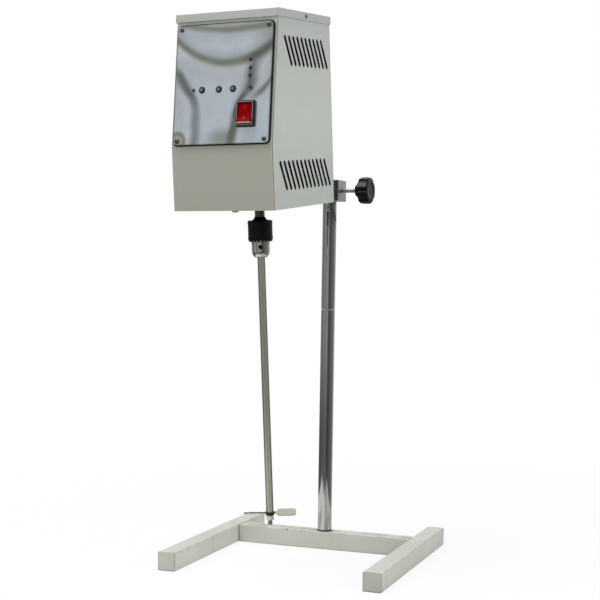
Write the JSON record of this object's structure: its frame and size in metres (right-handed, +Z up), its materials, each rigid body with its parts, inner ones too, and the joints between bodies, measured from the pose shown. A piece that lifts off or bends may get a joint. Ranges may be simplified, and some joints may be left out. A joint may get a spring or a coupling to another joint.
{
  "type": "mechanical stirrer",
  "caption": "Laboratory overhead stirrer: a slanted control head with a keyed chuck and bladed shaft, carried by a clamp on the rod of an H-shaped base.",
  "frame": {"origin": "on the bench under the stand rod's axis, on the crossbar's underside", "axes": "+Z up along the rod, +X to the operator's right, the front panel faces -Y"},
  "size_m": [0.308, 0.4012, 0.735],
  "materials": {
    "aluminium": "plain milled aluminium",
    "base_paint": "cream-grey powder coat, semi-gloss",
    "black_oxide": "black oxide, oiled",
    "black_rubber": "matt black rubber",
    "board_green": "green lacquered board",
    "brass": "plain brass",
    "button_grey": "light grey moulding",
    "chrome": "bright chrome plating",
    "fan_plastic": "dark moulded plastic",
    "gloss_black": "glossy black moulding",
    "head_paint": "light grey-green powder coat, semi-gloss",
    "lamination": "dark varnished iron",
    "polished_sheet": "mirror-polished stainless sheet, slightly wavy",
    "rocker_red": "glossy deep red moulding",
    "satin_steel": "satin turned or plain steel"
  },
  "bodies": {
    "stand": {"left_leg": "base_paint", "right_leg": "base_paint", "left_front_plug": "base_paint", "left_rear_plug": "base_paint", "right_front_plug": "base_paint", "right_rear_plug": "base_paint", "crossbar": "base_paint", "rod_weld_nut": "satin_steel", "rod_foot_washer": "satin_steel", "lower_rod": "chrome"},
    "upper_rod": {"upper_rod": "chrome"},
    "head": {"arm_set_screw": "black_oxide", "button_frame": "gloss_black", "cable_gland": "black_rubber", "chassis_plate": "aluminium", "clamp_block": "aluminium", "control_board": "board_green", "control_panel": "polished_sheet", "floor_screw": "satin_steel", "gland_nut": "black_rubber", "housing_shell": "head_paint", "lens_ring": "satin_steel", "lid": "head_paint", "lower_bearing": "satin_steel", "lower_bearing_plate": "aluminium", "motor_can": "lamination", "motor_stator": "lamination", "panel_gasket": "black_rubber", "panel_screw_1": "satin_steel", "panel_screw_2": "satin_steel", "panel_screw_3": "satin_steel", "panel_screw_4": "satin_steel", "rear_bracket": "satin_steel", "rear_cover": "head_paint", "speed_sensor": "gloss_black", "support_arm": "satin_steel", "switch_body": "gloss_black", "transformer": "lamination", "upper_bearing": "satin_steel", "upper_bearing_plate": "aluminium"},
    "pad": {"clamp_pad": "brass"},
    "knob": {"clamp_screw": "satin_steel", "clamp_knob": "gloss_black"},
    "left_button": {"left_button": "button_grey"},
    "middle_button": {"middle_button": "button_grey"},
    "right_button": {"right_button": "button_grey"},
    "rocker": {"power_rocker": "rocker_red"},
    "spindle": {"spindle": "satin_steel", "motor_rotor": "lamination", "speed_disc": "fan_plastic", "cooling_fan": "fan_plastic", "chuck_body": "satin_steel", "stirrer_shaft": "satin_steel", "agitator": "satin_steel", "lock_washer": "black_oxide", "shaft_nut": "satin_steel"},
    "sleeve": {"chuck_sleeve": "black_oxide"},
    "jaw_1": {"chuck_jaw_1": "satin_steel"},
    "jaw_2": {"chuck_jaw_2": "satin_steel"},
    "jaw_3": {"chuck_jaw_3": "satin_steel"}
  },
  "joints": [
    {"name": "rod_swivel", "type": "hinge", "parent": "stand", "child": "upper_rod", "pos_m": [0, 0, 0.344], "axis": [0, 0, 1], "range_deg": [-90, 90]},
    {"name": "head_slide", "type": "slide", "parent": "upper_rod", "child": "head", "axis": [0, 0, 1], "range_m": [-0.025, 0]},
    {"name": "pad_slide", "type": "slide", "parent": "head", "child": "pad", "axis": [0.9976, -0.0698, 0], "range_m": [0, 0.002]},
    {"name": "knob_turn", "type": "hinge", "parent": "pad", "child": "knob", "pos_m": [0, 0, 0.514], "axis": [0.9976, -0.0698, 0], "range_deg": [0, 720]},
    {"name": "left_button_press", "type": "slide", "parent": "head", "child": "left_button", "axis": [0.0696, 0.9954, -0.0664], "range_m": [0, 0.001], "stiffness_N_per_m": 400},
    {"name": "middle_button_press", "type": "slide", "parent": "head", "child": "middle_button", "axis": [0.0696, 0.9954, -0.0664], "range_m": [0, 0.001], "stiffness_N_per_m": 400},
    {"name": "right_button_press", "type": "slide", "parent": "head", "child": "right_button", "axis": [0.0696, 0.9954, -0.0664], "range_m": [0, 0.001], "stiffness_N_per_m": 400},
    {"name": "rocker_tilt", "type": "hinge", "parent": "head", "child": "rocker", "pos_m": [-0.00657, -0.30109, 0.58797], "axis": [0.9976, -0.0698, 0], "range_deg": [0, 16]},
    {"name": "spindle_spin", "type": "hinge", "parent": "head", "child": "spindle", "pos_m": [-0.03312, -0.18695, 0.4818], "axis": [-0.0079, -0.1129, 0.9936], "continuous": true},
    {"name": "sleeve_turn", "type": "hinge", "parent": "spindle", "child": "sleeve", "pos_m": [-0.03312, -0.18695, 0.4818], "axis": [-0.0079, -0.1129, 0.9936], "range_deg": [0, 720]},
    {"name": "jaw_1_slide", "type": "slide", "parent": "spindle", "child": "jaw_1", "axis": [0.1463, -0.1386, 0.9795], "range_m": [0, 0.003]},
    {"name": "jaw_2_slide", "type": "slide", "parent": "spindle", "child": "jaw_2", "axis": [-0.0614, 0.0345, 0.9975], "range_m": [0, 0.003]},
    {"name": "jaw_3_slide", "type": "slide", "parent": "spindle", "child": "jaw_3", "axis": [-0.1083, -0.2306, 0.967], "range_m": [0, 0.003]}
  ],
  "couplings": [
    {"joint": "sleeve_turn", "follows": "jaw_1_slide", "rad_per_m": 4188.8},
    {"joint": "jaw_2_slide", "follows": "jaw_1_slide", "ratio": 1},
    {"joint": "jaw_3_slide", "follows": "jaw_1_slide", "ratio": 1},
    {"joint": "knob_turn", "follows": "pad_slide", "rad_per_m": 6283.2}
  ]
}
